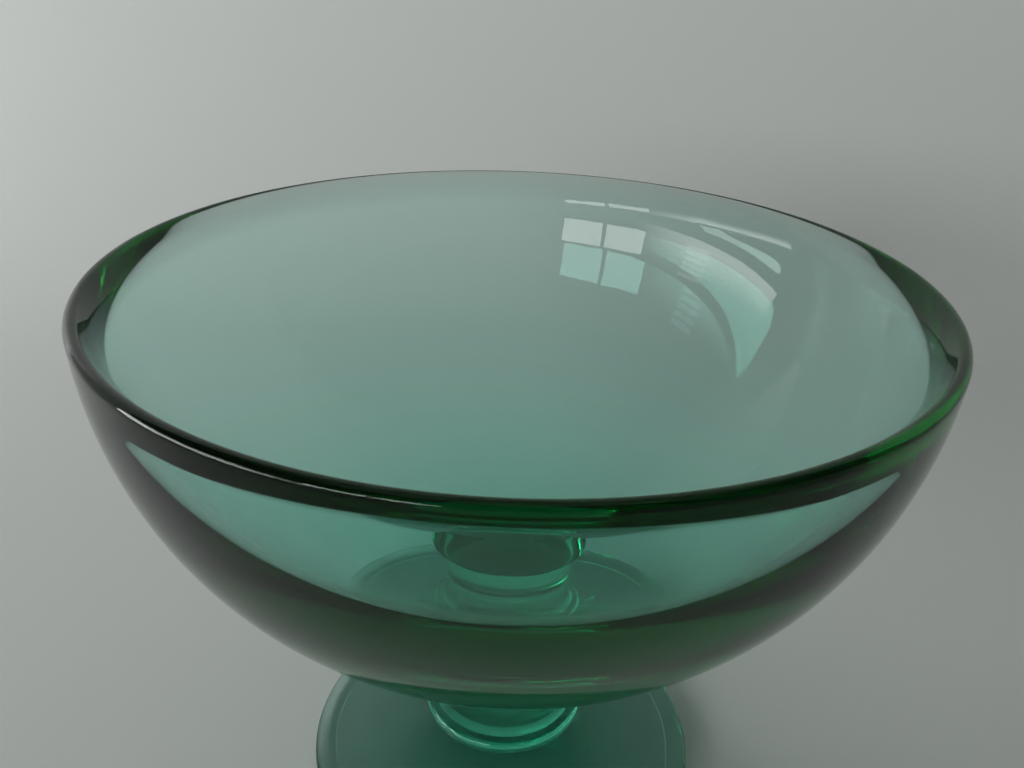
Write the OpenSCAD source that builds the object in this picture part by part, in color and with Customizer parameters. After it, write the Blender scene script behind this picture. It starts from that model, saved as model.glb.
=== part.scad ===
// Footed bowl in thick clear green glass.
// Four pieces of glass, stacked on one axis and fused hot, face to face.
// The foot stands on z = 0, and +Z is the axis of revolution.

/* [Bowl] */
// Diameter of the half sphere that the outside follows up to the rim
rim_d = 120; // [90:1:160]
// How far the top of the rim lies below the middle of that sphere
rim_drop = 1; // [0:0.1:5]
// Thickness of the rounded bead round the rim
rim_t = 2; // [1.6:0.1:3]
// How far the bead stands out from the wall on each side
rim_swell = 0.05; // [0.03:0.01:0.2]
// Slope of the bevel that leads from the bead down to the wall inside
bevel_a = 50; // [40:1:65]
// Thickness of the wall under the bevel
wall_t = 4; // [3:0.1:6]
// Diameter of the flat floor inside the bowl
floor_d = 20; // [12:0.5:32]
// Thickness of the glass between the floor and the stem
floor_t = 12.7; // [8:0.1:18]

/* [Stem] */
// Length of the stem between the collar and the bowl
stem_h = 21; // [12:0.5:32]
// Diameter of the stem where it is fused to the bowl
stem_d = 28; // [22:0.5:36]
// How far the side of the stem curves in
stem_dip = 2.2; // [0.8:0.1:4]

/* [Collar] */
// Outer diameter of the collar, whose edge is fully rounded
collar_d = 27.6; // [22:0.2:34]
// Height of the collar
collar_h = 3; // [2:0.1:5]

/* [Foot] */
// Outer diameter of the foot
foot_d = 67.4; // [56:0.1:84]
// Height of the foot where it is fused to the collar
foot_h = 10.1; // [8:0.1:13]
// Thickness of the foot at its edge, which is fully rounded
edge_t = 4.3; // [3:0.1:5.2]
// Width of the flat band round the foot, measured in from its edge
band_w = 3.7; // [3:0.1:6]
// How far the upper face of the foot curves in
foot_dip = 0.7; // [0.2:0.1:1.4]
// Height of the resting ring under the foot
ring_h = 0.3; // [0.2:0.05:0.6]
// Rise of the hollow inside the resting ring, from its side to its middle
recess_h = 0.8; // [0.4:0.1:1.6]

/* [Hidden] */
$fn = 128;
glass = [0.10, 0.52, 0.36];

// Radii of the circles on the axis
bowl_r = rim_d / 2;
stem_r = stem_d / 2;
foot_r = foot_d / 2;
rest_r = foot_r - band_w;
lip_r = rim_t / 2;
wall_r = wall_t / 2;
edge_r = edge_t / 2;
// The flat of the collar, which the stem and the foot meet all over
land_r = collar_d / 2 - collar_h / 2;

// Heights of the joints, the floor of the bowl, the middle of the half sphere and the rim
collar_z = foot_h;
stem_z = collar_z + collar_h;
seat_z = stem_z + stem_h;
floor_z = seat_z + floor_t;
ball_z = seat_z + sqrt(pow(bowl_r - rim_swell, 2) - pow(stem_r, 2));
rim_z = ball_z - rim_drop;

// The bead is a circle that touches the half sphere from within
lip_c = [sqrt(pow(bowl_r - lip_r, 2) - pow(rim_drop + lip_r, 2)), rim_z - lip_r];
// Inside, the bevel starts a little short of the outside of the bead
lip_in = lip_r - rim_swell;
// Middle of the wall, level with the middle of the bead
wall_c = [sqrt(pow(bowl_r - wall_r, 2) - pow(rim_drop + lip_r, 2)), lip_c[1]];
// The wall of the hollow is an arc that rises from the edge of the level floor to the bevel
reach = wall_c[0] - floor_d / 2;
rise = wall_c[1] - floor_z;
hollow_r = (reach * reach + rise * rise - wall_r * wall_r) / (2 * (rise + wall_r));
hollow_c = [floor_d / 2, floor_z + hollow_r];

// Section from the axis out to a side that runs between two points and curves in by dip
module dipped_section(low, high, dip) {
    chord = norm(high - low);
    out = [high[1] - low[1], low[0] - high[0]] / chord;
    r = (chord * chord / 4 + dip * dip) / (2 * dip);
    difference() {
        translate([0, low[1]]) square([max(low[0], high[0]) + dip, high[1] - low[1]]);
        translate((low + high) / 2 + out * (r - dip)) circle(r = r);
    }
}

module bowl_section() {
    difference() {
        intersection() {
            translate([0, ball_z]) circle(r = bowl_r - rim_swell);
            translate([0, seat_z]) square([rim_d, lip_c[1] - seat_z]);
        }
        translate(hollow_c) circle(r = hollow_r);
        translate(lip_c) rotate(bevel_a) translate([-rim_d / 8, lip_in]) square(rim_d / 8);
        translate([0, floor_z]) square([floor_d / 2, rim_d]);
    }
    translate(lip_c) circle(r = lip_r);
    translate(lip_c) rotate(bevel_a) translate([-lip_r, 0]) square([lip_r, lip_in]);
}

// Section of the shallow hollow under the foot, inside the resting ring
module recess_section() {
    recess_r = (rest_r * rest_r + recess_h * recess_h) / (2 * recess_h);
    intersection() {
        translate([0, -edge_t]) square([rest_r, 2 * edge_t]);
        translate([0, ring_h + recess_h - recess_r]) circle(r = recess_r, $fn = 8 * $fn);
    }
}

module foot_section() {
    difference() {
        union() {
            square([foot_r - edge_r, edge_t]);
            translate([foot_r - edge_r, edge_r]) circle(r = edge_r);
            dipped_section([rest_r, edge_t], [land_r, foot_h], foot_dip);
        }
        recess_section();
    }
}

module bowl() {
    color(glass) rotate_extrude() bowl_section();
}

module stem() {
    color(glass) rotate_extrude() dipped_section([land_r, stem_z], [stem_r, seat_z], stem_dip);
}

module collar() {
    color(glass) rotate_extrude() translate([0, collar_z]) {
        square([land_r, collar_h]);
        intersection() {
            translate([land_r, collar_h / 2]) circle(r = collar_h / 2);
            square([collar_d, collar_h]);
        }
    }
}

module foot() {
    color(glass) rotate_extrude() foot_section();
}

bowl();
stem();
collar();
foot();
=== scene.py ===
import math

import bmesh
import bpy
from mathutils import Euler, Matrix, Vector


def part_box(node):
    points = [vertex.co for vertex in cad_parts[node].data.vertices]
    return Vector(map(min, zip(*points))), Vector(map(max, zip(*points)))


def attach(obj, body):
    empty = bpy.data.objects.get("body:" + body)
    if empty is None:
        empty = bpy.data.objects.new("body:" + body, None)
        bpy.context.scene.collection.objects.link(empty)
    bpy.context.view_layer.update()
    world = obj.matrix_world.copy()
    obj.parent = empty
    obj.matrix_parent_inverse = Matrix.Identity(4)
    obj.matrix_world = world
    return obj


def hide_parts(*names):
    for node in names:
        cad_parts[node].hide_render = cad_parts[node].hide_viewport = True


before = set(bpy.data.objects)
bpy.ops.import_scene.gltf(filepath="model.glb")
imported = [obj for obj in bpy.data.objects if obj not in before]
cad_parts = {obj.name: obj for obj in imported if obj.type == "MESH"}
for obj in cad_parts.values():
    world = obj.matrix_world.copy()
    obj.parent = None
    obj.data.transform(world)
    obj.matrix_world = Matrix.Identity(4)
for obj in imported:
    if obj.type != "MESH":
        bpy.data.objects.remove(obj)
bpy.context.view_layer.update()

bl_info = {
    "name": "Footed glass bowl",
    "version": (1, 0, 0),
    "blender": (4, 5, 0),
    "location": "View3D > Sidebar > Glass bowl",
    "description": "Builds a footed bowl in thick green glass, piece by piece, and a plain studio round it",
    "category": "Object",
}

MM = 0.001

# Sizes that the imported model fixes, in metres
RIM_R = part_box("bowl")[1].x
RIM_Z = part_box("bowl")[1].z
SEAT_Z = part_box("bowl")[0].z
SEAT_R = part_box("stem")[1].x
COLLAR_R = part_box("collar")[1].x
COLLAR_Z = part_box("collar")[0].z
STEM_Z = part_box("stem")[0].z
FOOT_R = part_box("foot")[1].x
# The flat of the collar, which the stem and the foot meet all over
LAND_R = COLLAR_R - (STEM_Z - COLLAR_Z) / 2


class BowlSizes(bpy.types.PropertyGroup):
    rim_t: bpy.props.FloatProperty(
        name="Rim thickness", description="Thickness of the rounded bead at the rim", default=2.0 * MM, unit="LENGTH")
    rim_drop: bpy.props.FloatProperty(
        name="Rim drop", description="Depth of the rim below the middle of the sphere that the outside follows",
        default=1.0 * MM, unit="LENGTH")
    bevel: bpy.props.FloatProperty(
        name="Rim bevel", description="Slope of the bevel from the bead down to the wall inside",
        default=math.radians(50), subtype="ANGLE")
    shoulder_r: bpy.props.FloatProperty(
        name="Bevel shoulder", description="Radius where the bevel turns into the wall", default=7.5 * MM,
        unit="LENGTH")
    wall_t: bpy.props.FloatProperty(
        name="Wall thickness", description="Thickness of the wall under the bevel", default=4.0 * MM, unit="LENGTH")
    floor_r: bpy.props.FloatProperty(
        name="Floor radius", description="Radius of the flat floor inside", default=10.0 * MM, unit="LENGTH")
    floor_t: bpy.props.FloatProperty(
        name="Floor thickness", description="Glass between the floor and the stem", default=12.7 * MM, unit="LENGTH")
    stem_dip: bpy.props.FloatProperty(
        name="Stem waist", description="How far the stem's side curves in", default=2.2 * MM, unit="LENGTH")
    foot_dip: bpy.props.FloatProperty(
        name="Foot curve", description="How far the foot's upper face curves in", default=0.7 * MM, unit="LENGTH")
    edge_t: bpy.props.FloatProperty(
        name="Foot edge", description="Thickness of the foot at its rounded edge", default=4.3 * MM, unit="LENGTH")
    band_w: bpy.props.FloatProperty(
        name="Foot band", description="Width of the flat band round the foot", default=3.7 * MM, unit="LENGTH")
    ring_h: bpy.props.FloatProperty(
        name="Resting ring", description="Height of the ring that the foot rests on", default=0.3 * MM, unit="LENGTH")
    recess_h: bpy.props.FloatProperty(
        name="Foot hollow", description="Rise of the hollow inside the ring", default=0.8 * MM, unit="LENGTH")
    join_lap: bpy.props.FloatProperty(
        name="Join lap", description="How far each piece runs past a fused join", default=0.01 * MM, unit="LENGTH")
    corner_r: bpy.props.FloatProperty(
        name="Corner radius", description="Radius that the fire leaves on a corner", default=0.15 * MM, unit="LENGTH")
    step: bpy.props.FloatProperty(
        name="Outline step", description="Longest step along a curved outline", default=0.9 * MM, unit="LENGTH")
    segments: bpy.props.IntProperty(
        name="Segments", description="Steps round the axis", default=384, min=32)
    mark_depth: bpy.props.FloatProperty(
        name="Mark depth", description="Relief of the small moulded marks under the foot", default=0.12 * MM,
        unit="LENGTH")
    mark_pitch: bpy.props.FloatProperty(
        name="Mark pitch", description="Distance from mark to mark", default=1.3 * MM, unit="LENGTH")
    mark_ring: bpy.props.FloatProperty(
        name="Mark ring", description="Radius of the outer row of marks", default=27.4 * MM, unit="LENGTH")
    mark_gap: bpy.props.FloatProperty(
        name="Row gap", description="Distance between the two rows of marks", default=2.2 * MM, unit="LENGTH")


class GlassLook(bpy.types.PropertyGroup):
    colour: bpy.props.FloatVectorProperty(
        name="Body colour", description="Colour that the glass lets through", subtype="COLOR", size=3,
        default=(0.0, 0.765, 0.61), min=0, max=1)
    density: bpy.props.FloatProperty(
        name="Depth of colour", description="Absorption per metre of glass", default=80.0, min=0)
    ior: bpy.props.FloatProperty(
        name="Refractive index", description="Of soda-lime glass", default=1.52, min=1)
    roughness: bpy.props.FloatProperty(
        name="Roughness", description="Of the fire-polished surface", default=0.0, min=0, max=1)
    tint: bpy.props.FloatProperty(
        name="Reflection tint", description="Brightness of the reflections seen face on", default=0.35, min=0, max=1)


class StudioLook(bpy.types.PropertyGroup):
    paper: bpy.props.FloatVectorProperty(
        name="Paper colour", description="Colour of the sweep that the bowl stands on", subtype="COLOR", size=3,
        default=(0.56, 0.575, 0.56), min=0, max=1)
    window_power: bpy.props.FloatProperty(
        name="Window light", description="Radiance of the window light", default=13.0, min=0)
    wash_power: bpy.props.FloatProperty(
        name="Wall light", description="Radiance of the light that washes the wall from the left", default=6.0, min=0)
    glow: bpy.props.FloatVectorProperty(
        name="Glow colour", description="Light of the bright side of the room, low on the left", subtype="COLOR",
        size=3, default=(10.2, 10.6, 10.3), min=0, max=20)
    zenith: bpy.props.FloatVectorProperty(
        name="Ceiling colour", description="Light of the pale ceiling overhead", subtype="COLOR", size=3,
        default=(0.35, 0.355, 0.35), min=0, max=20)
    horizon: bpy.props.FloatVectorProperty(
        name="Horizon colour", description="Light of the pale room along the horizon", subtype="COLOR", size=3,
        default=(0.22, 0.225, 0.22), min=0, max=1)
    backdrop: bpy.props.FloatVectorProperty(
        name="Backdrop colour", description="Colour of the room where the camera sees it directly", subtype="COLOR",
        size=3, default=(0.4, 0.41, 0.4), min=0, max=1)
    room: bpy.props.FloatVectorProperty(
        name="Room colour", description="Light of the dark walls above the horizon", subtype="COLOR", size=3,
        default=(0.05, 0.05, 0.05), min=0, max=1)


# ---------------------------------------------------------------- outlines

def arc(centre, radius, start, end, step):
    """Points of an arc in the section plane, from angle start to angle end, both included."""
    count = max(6, math.ceil(abs(end - start) * radius / step))
    angles = [start + (end - start) * i / count for i in range(count + 1)]
    return [(centre[0] + radius * math.cos(a), centre[1] + radius * math.sin(a)) for a in angles]


def dipped_side(low, high, dip, step):
    """Side that runs from low to high and curves towards the axis by dip."""
    low, high = Vector(low), Vector(high)
    chord = high - low
    out = Vector((chord.y, -chord.x)).normalized()
    radius = (chord.length_squared / 4 + dip * dip) / (2 * dip)
    centre = (low + high) / 2 + out * (radius - dip)
    turn = [math.atan2(*reversed(p - centre)) % math.tau for p in (low, high)]
    return arc(centre, radius, turn[0], turn[1], step)


def soften(points, radius, least=math.radians(12), share=0.22, steps=6):
    """Rounds each corner of an outline, with a close point on each side that keeps the flats flat.

    Corners flatter than least stay as they are, and a corner takes no more than share of the sides next to it."""
    points = [Vector(p) for p in points]
    soft = [points[0]]
    for before, here, after in zip(points, points[1:], points[2:]):
        a, b = (before - here), (after - here)
        turn = math.pi - a.angle(b)
        if turn < least:
            soft.append(here)
            continue
        cut = min(radius * math.tan(turn / 2), a.length * share, b.length * share)
        a.normalize()
        b.normalize()
        soft.append(here + a * cut * 2)
        for i in range(steps + 1):
            t = i / steps
            p, q = here + a * cut * (1 - t), here + b * cut * t
            soft.append(p.lerp(q, t))
        soft.append(here + b * cut * 2)
    soft.append(points[-1])
    return soft


def bowl_outline(s):
    lip_r, wall_r = s.rim_t / 2, s.wall_t / 2
    lip = Vector((RIM_R - lip_r, RIM_Z - lip_r))
    ball = Vector((0, RIM_Z + s.rim_drop))
    ball_r = (lip - ball).length + lip_r
    wall_x = math.sqrt((ball_r - wall_r) ** 2 - (ball.y - lip.y) ** 2)
    floor_z = SEAT_Z + s.floor_t
    reach, rise = wall_x - s.floor_r, lip.y - floor_z
    hollow_r = (reach ** 2 + rise ** 2 - wall_r ** 2) / (2 * (rise + wall_r))
    hollow = Vector((s.floor_r, floor_z + hollow_r))
    # The shoulder is an arc that touches the bevel and the wall of the hollow
    up = Vector((-math.sin(s.bevel), math.cos(s.bevel)))
    along = Vector((-math.cos(s.bevel), -math.sin(s.bevel)))
    start = lip + up * (lip_r - s.shoulder_r) - hollow
    half = start.dot(along)
    way = -half - math.sqrt(half ** 2 - start.length_squared + (hollow_r + s.shoulder_r) ** 2)
    shoulder = hollow + start + along * way
    tilt_out = math.atan2(lip.y - ball.y, lip.x)
    tilt_up = s.bevel + math.pi / 2
    tilt_in = math.atan2(shoulder.y - hollow.y, shoulder.x - hollow.x)
    seat = SEAT_Z - s.join_lap
    low = -math.asin((ball.y - seat) / ball_r)
    out = [(0, seat)] + arc(ball, ball_r, low, tilt_out, s.step)
    out += arc(lip, lip_r, tilt_out, tilt_up, s.step / 6)[1:]
    out += arc(shoulder, s.shoulder_r, tilt_up, tilt_in + math.pi, s.step / 6)
    out += arc(hollow, hollow_r, tilt_in, -math.pi / 2, s.step)[1:]
    return out + [(0, floor_z)]


def stem_outline(s):
    low, high = STEM_Z - s.join_lap, SEAT_Z + s.join_lap
    side = dipped_side((LAND_R, low), (SEAT_R, high), s.stem_dip, s.step / 2)
    return [(0, low)] + side + [(0, high)]


def collar_outline(s):
    low, high = COLLAR_Z - s.join_lap, STEM_Z + s.join_lap
    edge = arc((LAND_R, (low + high) / 2), (high - low) / 2, -math.pi / 2, math.pi / 2, s.step / 4)
    return [(0, low)] + edge + [(0, high)]


def foot_outline(s):
    edge_r = s.edge_t / 2
    rest_r = FOOT_R - s.band_w
    top = COLLAR_Z + s.join_lap
    under_r = (rest_r ** 2 + s.recess_h ** 2) / (2 * s.recess_h)
    half = math.asin(rest_r / under_r)
    under = arc((0, s.ring_h + s.recess_h - under_r), under_r, math.pi / 2, math.pi / 2 - half, s.step / 2)
    under.append((rest_r, 0))
    edge = arc((FOOT_R - edge_r, edge_r), edge_r, -math.pi / 2, math.pi / 2, s.step / 4)
    rise = dipped_side((rest_r, s.edge_t), (LAND_R, top), s.foot_dip, s.step)
    return under + edge + rise + [(0, top)]


# ---------------------------------------------------------------- geometry nodes

def wire(tree, kind, values=None, **settings):
    """Adds a node, sets its settings, and links or sets its inputs by name or number."""
    node = tree.nodes.new(kind)
    for name, value in settings.items():
        setattr(node, name, value)
    for key, value in (values or {}).items():
        socket = node.inputs[key]
        if isinstance(value, bpy.types.NodeSocket):
            tree.links.new(value, socket)
        else:
            socket.default_value = value
    return node


def maths(tree, operation, *values):
    """Adds a math node and gives its result."""
    return wire(tree, "ShaderNodeMath", dict(enumerate(values)), operation=operation).outputs[0]


def new_tree(name, inputs):
    """A geometry tree with a geometry input and output and the named inputs."""
    tree = bpy.data.node_groups.new(name, "GeometryNodeTree")
    tree.interface.new_socket("Geometry", in_out="INPUT", socket_type="NodeSocketGeometry")
    for label, kind in inputs.items():
        tree.interface.new_socket(label, in_out="INPUT", socket_type="NodeSocket" + kind)
    tree.interface.new_socket("Geometry", in_out="OUTPUT", socket_type="NodeSocketGeometry")
    return tree, tree.nodes.new("NodeGroupInput")


def close_tree(tree, geometry, material):
    """Ends a tree in Realize Instances and Set Material."""
    real = wire(tree, "GeometryNodeRealizeInstances", {"Geometry": geometry}).outputs[0]
    done = wire(tree, "GeometryNodeSetMaterial", {"Geometry": real, "Material": material}).outputs[0]
    wire(tree, "NodeGroupOutput", {0: done})


def lathe_tree():
    """Turns an outline, given as a chain of points, round the Z axis into a closed smooth solid."""
    tree, given = new_tree("lathe", {"Segments": "Int", "Material": "Material"})
    outline, segments = given.outputs["Geometry"], given.outputs["Segments"]
    count = wire(tree, "GeometryNodeAttributeDomainSize", {0: outline}, component="MESH").outputs["Point Count"]
    rings = maths(tree, "ADD", segments, 1)
    grid = wire(tree, "GeometryNodeMeshGrid", {"Vertices X": rings, "Vertices Y": count}).outputs["Mesh"]
    index = tree.nodes.new("GeometryNodeInputIndex").outputs[0]
    along = maths(tree, "MODULO", index, count)
    turn = maths(tree, "FLOOR", maths(tree, "DIVIDE", index, count))
    angle = maths(tree, "MULTIPLY", maths(tree, "DIVIDE", turn, segments), math.tau)
    position = tree.nodes.new("GeometryNodeInputPosition").outputs[0]
    sample = wire(tree, "GeometryNodeSampleIndex", {"Geometry": outline}, data_type="FLOAT_VECTOR", domain="POINT")
    tree.links.new(position, sample.inputs["Value"])
    tree.links.new(along, sample.inputs["Index"])
    spun = wire(tree, "ShaderNodeVectorRotate", {"Vector": sample.outputs[0], "Angle": angle},
                rotation_type="Z_AXIS").outputs[0]
    placed = wire(tree, "GeometryNodeSetPosition", {"Geometry": grid, "Position": spun}).outputs[0]
    merged = wire(tree, "GeometryNodeMergeByDistance", {"Geometry": placed, "Distance": 1e-6}).outputs[0]
    smooth = wire(tree, "GeometryNodeSetShadeSmooth", {"Geometry": merged, "Shade Smooth": True}).outputs[0]
    close_tree(tree, smooth, given.outputs["Material"])
    return tree


def marks_tree():
    """Raises two rows of small plain marks on the underside of the foot, each a little different.

    They run round the front and stop where the foot turns away behind."""
    reach_back, ramp_start, ramp_end, least_mark, row_seeds = 0.3, 0.34, 0.14, 0.35, 1000
    tree, given = new_tree("moulded marks", {
        "Depth": "Float", "Pitch": "Float", "Ring": "Float", "Gap": "Float", "Top": "Float", "Seed": "Int",
        "Material": "Material"})
    geometry = given.outputs["Geometry"]
    place = wire(tree, "ShaderNodeSeparateXYZ", {0: tree.nodes.new("GeometryNodeInputPosition").outputs[0]}).outputs
    out = maths(tree, "SQRT", maths(tree, "ADD", maths(tree, "MULTIPLY", place["X"], place["X"]),
                                    maths(tree, "MULTIPLY", place["Y"], place["Y"])))
    turn = maths(tree, "ARCTAN2", place["Y"], place["X"])
    under = maths(tree, "LESS_THAN", place["Z"], given.outputs["Top"])
    front = maths(tree, "LESS_THAN", place["Y"], maths(tree, "MULTIPLY", given.outputs["Ring"], reach_back))
    relief = 0
    for row in (0, 1):
        ring = maths(tree, "SUBTRACT", given.outputs["Ring"], maths(tree, "MULTIPLY", given.outputs["Gap"], row))
        count = maths(tree, "ROUND", maths(tree, "DIVIDE", maths(tree, "MULTIPLY", ring, math.tau),
                                           given.outputs["Pitch"]))
        step = maths(tree, "MULTIPLY", turn, maths(tree, "DIVIDE", count, math.tau))
        cell = maths(tree, "FLOOR", step)
        chance = wire(tree, "FunctionNodeRandomValue", {"ID": wire(
            tree, "FunctionNodeFloatToInt", {0: maths(tree, "ADD", cell, row_seeds * row)}).outputs[0],
            "Seed": given.outputs["Seed"]}, data_type="FLOAT").outputs[1]
        across = maths(tree, "SINE", maths(tree, "MULTIPLY", maths(tree, "SUBTRACT", step, cell), math.pi))
        far = maths(tree, "ABSOLUTE", maths(tree, "SUBTRACT", out, ring))
        along = wire(tree, "ShaderNodeMapRange", {
            "Value": far, "From Min": maths(tree, "MULTIPLY", given.outputs["Gap"], ramp_start),
            "From Max": maths(tree, "MULTIPLY", given.outputs["Gap"], ramp_end)},
            interpolation_type="SMOOTHSTEP").outputs[0]
        mark = maths(tree, "MULTIPLY", maths(tree, "MULTIPLY", along, across),
                     maths(tree, "ADD", least_mark, maths(tree, "MULTIPLY", chance, 1 - least_mark)))
        relief = maths(tree, "ADD", relief, mark)
    drop = maths(tree, "MULTIPLY", maths(tree, "MULTIPLY", relief, maths(tree, "MULTIPLY", under, front)),
                 maths(tree, "MULTIPLY", given.outputs["Depth"], -1))
    offset = wire(tree, "ShaderNodeCombineXYZ", {"Z": drop}).outputs[0]
    marked = wire(tree, "GeometryNodeSetPosition", {"Geometry": geometry, "Offset": offset}).outputs[0]
    close_tree(tree, marked, given.outputs["Material"])
    return tree


def run_tree(obj, tree, values):
    """Puts a tree on an object and sets its named inputs."""
    modifier = obj.modifiers.new(tree.name, "NODES")
    modifier.node_group = tree
    for item in tree.interface.items_tree:
        if item.in_out == "INPUT" and item.name in values:
            modifier[item.identifier] = values[item.name]


def to_plain_mesh(obj):
    """Swaps an object's mesh for what its modifiers make, and removes them and the empty material slots."""
    made = bpy.data.meshes.new_from_object(obj.evaluated_get(bpy.context.evaluated_depsgraph_get()))
    obj.modifiers.clear()
    for slot in reversed(range(len(made.materials))):
        if made.materials[slot] is None:
            made.materials.pop(index=slot)
    obj.data = made
    made.name = obj.name


def turned_piece(name, outline, s, material, details=(), segments=0):
    """Lathes an outline into a closed piece, and then runs the trees in details on it."""
    points = [Vector((p.x, 0, p.y)) for p in soften(outline, s.corner_r)]
    chain = bpy.data.meshes.new(name)
    chain.from_pydata(points, [(i, i + 1) for i in range(len(points) - 1)], [])
    obj = bpy.data.objects.new(name, chain)
    bpy.context.scene.collection.objects.link(obj)
    run_tree(obj, lathe_tree(), {"Segments": segments or s.segments, "Material": material})
    for tree, values in details:
        run_tree(obj, tree, values)
    to_plain_mesh(obj)
    check_closed(obj)
    return obj


def check_closed(obj):
    """Turns the faces out where they point in, and raises an error unless the mesh is closed."""
    shape = bmesh.new()
    shape.from_mesh(obj.data)
    open_edges = sum(1 for e in shape.edges if not e.is_manifold)
    volume = shape.calc_volume(signed=True)
    if volume < 0:
        bmesh.ops.reverse_faces(shape, faces=shape.faces)
        shape.to_mesh(obj.data)
    shape.free()
    if open_edges:
        raise RuntimeError(f"{obj.name} has {open_edges} open edges")


def fit_to_frame(obj, node):
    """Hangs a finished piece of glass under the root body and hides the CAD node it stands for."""
    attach(obj, "root")
    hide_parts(node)


# ---------------------------------------------------------------- glass

def green_glass():
    """Clear glass whose colour comes from its depth."""
    known = bpy.data.materials.get("thick_green_glass")
    if known:
        return known
    look = bpy.context.scene.glass_look
    material = bpy.data.materials.new("thick_green_glass")
    material.use_nodes = True
    tree = material.node_tree
    tree.nodes.clear()
    shader = wire(tree, "ShaderNodeBsdfPrincipled", {
        "Base Color": (1, 1, 1, 1), "Roughness": look.roughness, "IOR": look.ior, "Transmission Weight": 1.0,
        "Specular Tint": (look.tint, look.tint, look.tint, 1)})
    body = wire(tree, "ShaderNodeVolumeAbsorption", {"Color": (*look.colour, 1), "Density": look.density})
    wire(tree, "ShaderNodeOutputMaterial", {"Surface": shader.outputs[0], "Volume": body.outputs[0]})
    return material


class GLASSBOWL_OT_bowl(bpy.types.Operator):
    """Make the bowl"""
    bl_idname = "glassbowl.bowl"
    bl_label = "Bowl"

    def execute(self, context):
        s = context.scene.bowl_sizes
        fit_to_frame(turned_piece("glass_bowl", bowl_outline(s), s, green_glass()), "bowl")
        return {"FINISHED"}


class GLASSBOWL_OT_stem(bpy.types.Operator):
    """Make the stem"""
    bl_idname = "glassbowl.stem"
    bl_label = "Stem"

    def execute(self, context):
        s = context.scene.bowl_sizes
        fit_to_frame(turned_piece("glass_stem", stem_outline(s), s, green_glass()), "stem")
        return {"FINISHED"}


class GLASSBOWL_OT_collar(bpy.types.Operator):
    """Make the collar"""
    bl_idname = "glassbowl.collar"
    bl_label = "Collar"

    def execute(self, context):
        s = context.scene.bowl_sizes
        fit_to_frame(turned_piece("glass_collar", collar_outline(s), s, green_glass()), "collar")
        return {"FINISHED"}


class GLASSBOWL_OT_foot(bpy.types.Operator):
    """Make the foot"""
    bl_idname = "glassbowl.foot"
    bl_label = "Foot"

    def execute(self, context):
        s = context.scene.bowl_sizes
        marks = {"Depth": s.mark_depth, "Pitch": s.mark_pitch, "Ring": s.mark_ring, "Gap": s.mark_gap,
                 "Top": s.ring_h + s.recess_h + s.join_lap, "Seed": 7, "Material": green_glass()}
        # The small marks need finer steps round the axis than the plain pieces do
        fine = s.segments * 3 // 2
        foot = turned_piece("glass_foot", foot_outline(s), s, green_glass(), [(marks_tree(), marks)], fine)
        fit_to_frame(foot, "foot")
        return {"FINISHED"}


# ---------------------------------------------------------------- studio

def add_camera():
    """Camera a little above the rim, looking down into the bowl."""
    camera = bpy.data.cameras.new("camera")
    camera.sensor_width = 36
    camera.lens = 33.08
    camera.clip_start = 0.01
    obj = bpy.data.objects.new("camera", camera)
    obj.location = (-0.65 * MM, -127.63 * MM, RIM_Z + 45.23 * MM)
    aim = Euler((math.radians(63.624), 0, math.radians(-0.071))).to_matrix()
    obj.rotation_euler = (aim @ Matrix.Rotation(math.radians(2.187), 3, "Z")).to_euler()
    bpy.context.scene.collection.objects.link(obj)
    bpy.context.scene.camera = obj


def add_paper(look):
    """Pale paper: a wide floor, a round cove and a wall behind the bowl."""
    half, front, back, cove, top, steps = 2.5, -2.5, 0.32, 0.16, 0.9, 24
    # A hair below the foot, so that glass and paper don't share a plane
    gap = 0.05 * MM
    bend = [(back - cove + cove * math.sin(a), cove - cove * math.cos(a))
            for a in [math.pi / 2 * i / steps for i in range(steps + 1)]]
    section = [(front, 0)] + bend + [(back, top)]
    mesh = bpy.data.meshes.new("paper")
    points = [(x, y, z - gap) for y, z in section for x in (-half, half)]
    faces = [(2 * i, 2 * i + 1, 2 * i + 3, 2 * i + 2) for i in range(len(section) - 1)]
    mesh.from_pydata(points, [], faces)
    mesh.shade_smooth()
    paper = bpy.data.materials.new("paper")
    paper.use_nodes = True
    shader = paper.node_tree.nodes["Principled BSDF"]
    shader.inputs["Base Color"].default_value = (*look.paper, 1)
    shader.inputs["Roughness"].default_value = 0.9
    mesh.materials.append(paper)
    obj = bpy.data.objects.new("paper", mesh)
    bpy.context.scene.collection.objects.link(obj)


def area_light(name, azimuth, elevation, distance, size, radiance, colour=(1, 1, 1)):
    """A square-cornered light of even radiance that faces the bowl; azimuth 0 is the front, and left is negative."""
    a, e = math.radians(azimuth), math.radians(elevation)
    away = Vector((math.sin(a) * math.cos(e), -math.cos(a) * math.cos(e), math.sin(e)))
    light = bpy.data.lights.new(name, "AREA")
    light.shape = "RECTANGLE"
    light.size, light.size_y = size
    light.energy = radiance * math.pi * size[0] * size[1]
    light.color = colour
    obj = bpy.data.objects.new(name, light)
    obj.rotation_euler = away.to_track_quat("Z", "Y").to_euler()
    obj.location = away * distance + Vector((0, 0, RIM_Z))
    bpy.context.scene.collection.objects.link(obj)
    return obj


def add_window(name, azimuth, elevation, distance, size, panes, bar, radiance):
    """A window of panes across and up, with dark bars between them."""
    daylight = (0.97, 1.0, 0.99)
    pane = [(size[i] - bar * (panes[i] - 1)) / panes[i] for i in (0, 1)]
    for i in range(panes[0]):
        for j in range(panes[1]):
            obj = area_light(f"{name}_{i}_{j}", azimuth, elevation, distance, pane, radiance, daylight)
            shift = Vector([(at - (panes[k] - 1) / 2) * (pane[k] + bar) for k, at in enumerate((i, j))] + [0])
            obj.location += obj.rotation_euler.to_matrix() @ shift


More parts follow.
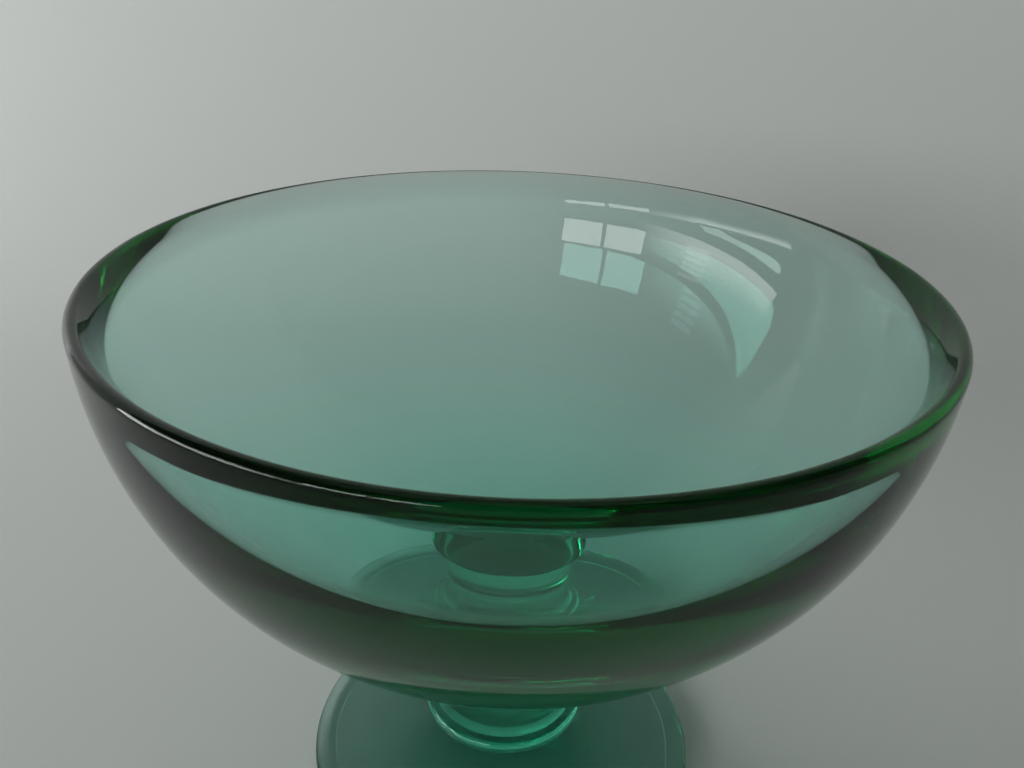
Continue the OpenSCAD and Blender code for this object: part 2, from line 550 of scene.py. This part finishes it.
def blend(tree, factor, first, second):
    """Mixes two colours by a factor and gives the result."""
    return wire(tree, "ShaderNodeMix", {"Factor": factor, 6: first, 7: second}, data_type="RGBA").outputs[2]


def between(tree, value, low, high):
    """Rises smoothly from 0 to 1 while a value goes from low to high."""
    return wire(tree, "ShaderNodeMapRange", {"Value": value, "From Min": low, "From Max": high},
                interpolation_type="SMOOTHSTEP").outputs[0]


def add_room(look):
    """A room with a bright side low on the left, a pale ceiling and dark walls between them."""
    world = bpy.data.worlds.new("room")
    world.use_nodes = True
    tree = world.node_tree
    way = tree.nodes.new("ShaderNodeTexCoord").outputs["Generated"]
    height = wire(tree, "ShaderNodeSeparateXYZ", {0: way}).outputs["Z"]
    # The bright side fades out from its middle between these two angles
    side, bright, gone = (math.radians(v) for v in (-80, 10, 42))
    toward = wire(tree, "ShaderNodeVectorMath", {0: way, 1: (math.sin(side), -math.cos(side), 0)},
                  operation="DOT_PRODUCT").outputs["Value"]
    near = between(tree, toward, math.cos(gone), math.cos(bright))
    low_room = blend(tree, near, (*look.horizon, 1), (*look.glow, 1))
    # Elevations where the walls darken, and where the ceiling starts and is fully pale
    walls = between(tree, height, *(math.sin(math.radians(v)) for v in (6, 20)))
    ceiling = between(tree, height, *(math.sin(math.radians(v)) for v in (52, 75)))
    room = blend(tree, walls, low_room, (*look.room, 1))
    room = blend(tree, ceiling, room, (*look.zenith, 1))
    seen = tree.nodes.new("ShaderNodeLightPath").outputs["Is Camera Ray"]
    tree.links.new(blend(tree, seen, room, (*look.backdrop, 1)), tree.nodes["Background"].inputs["Color"])
    bpy.context.scene.world = world


class GLASSBOWL_OT_studio(bpy.types.Operator):
    """Set up the camera, the paper sweep and the light"""
    bl_idname = "glassbowl.studio"
    bl_label = "Studio"

    def execute(self, context):
        look = context.scene.studio_look
        shutter_share, streak_share, bounces = 0.3, 0.2, 24
        add_camera()
        add_paper(look)
        add_window("window", -30, 12, 1.2, (0.62, 0.21), (2, 1), 0.03, look.window_power)
        add_window("shutter", -65, 13, 1.2, (0.18, 0.26), (1, 6), 0.015, look.window_power * shutter_share)
        area_light("streak", -110, 2, 1.2, (0.12, 0.5), look.window_power * streak_share)
        # This one only lights the wall behind, so the glass doesn't show it
        wash = area_light("wash", -112, 14, 0.62, (0.3, 0.3), look.wash_power)
        wash.visible_glossy = wash.visible_transmission = False
        add_room(look)
        context.scene.view_settings.view_transform = "Standard"
        context.scene.cycles.max_bounces = bounces
        context.scene.cycles.transmission_bounces = bounces
        context.scene.cycles.glossy_bounces = bounces
        return {"FINISHED"}


STEPS = (GLASSBOWL_OT_studio, GLASSBOWL_OT_bowl, GLASSBOWL_OT_stem, GLASSBOWL_OT_collar, GLASSBOWL_OT_foot)


class GLASSBOWL_PT_panel(bpy.types.Panel):
    bl_idname = "GLASSBOWL_PT_panel"
    bl_label = "Footed glass bowl"
    bl_space_type = "VIEW_3D"
    bl_region_type = "UI"
    bl_category = "Glass bowl"

    def draw(self, context):
        for step in STEPS:
            self.layout.operator(step.bl_idname)
        for group in (context.scene.bowl_sizes, context.scene.glass_look, context.scene.studio_look):
            for name in group.__annotations__:
                self.layout.prop(group, name)


CLASSES = (BowlSizes, GlassLook, StudioLook, *STEPS, GLASSBOWL_PT_panel)


def register():
    for item in CLASSES:
        bpy.utils.register_class(item)
    bpy.types.Scene.bowl_sizes = bpy.props.PointerProperty(type=BowlSizes)
    bpy.types.Scene.glass_look = bpy.props.PointerProperty(type=GlassLook)
    bpy.types.Scene.studio_look = bpy.props.PointerProperty(type=StudioLook)


def unregister():
    del bpy.types.Scene.studio_look
    del bpy.types.Scene.glass_look
    del bpy.types.Scene.bowl_sizes
    for item in reversed(CLASSES):
        bpy.utils.unregister_class(item)


def main():
    """Builds the bowl and its studio."""
    register()
    for step in STEPS:
        group, name = step.bl_idname.split(".")
        getattr(getattr(bpy.ops, group), name)()


if __name__ == "__main__":
    main()
